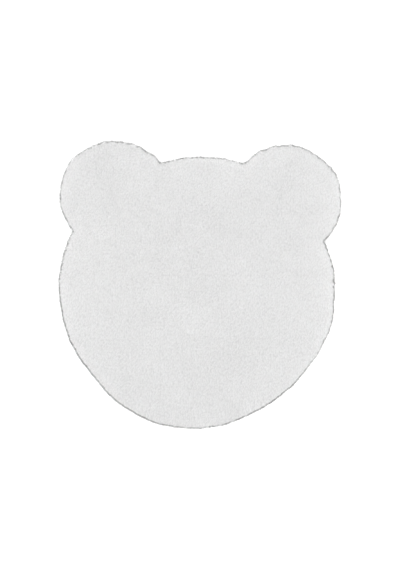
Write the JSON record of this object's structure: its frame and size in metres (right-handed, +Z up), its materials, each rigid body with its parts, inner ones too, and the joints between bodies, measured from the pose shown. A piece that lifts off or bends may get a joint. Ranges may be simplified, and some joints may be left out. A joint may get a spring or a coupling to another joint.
{
  "type": "plush rug",
  "caption": "Flat white plush rug cut to the outline of a bear's head with two round ears, lying pile up on a floor.",
  "frame": {"origin": "on the floor, under the middle of the rug's box", "axes": "+Z up, out of the pile; +Y towards the ears; +X to the right as seen from above with the ears away"},
  "size_m": [0.9082, 0.9209, 0.0197],
  "materials": {
    "pile": "soft matt white plush pile, short and dense"
  },
  "bodies": {
    "root": {"plush_rug": "pile"}
  },
  "joints": []
}
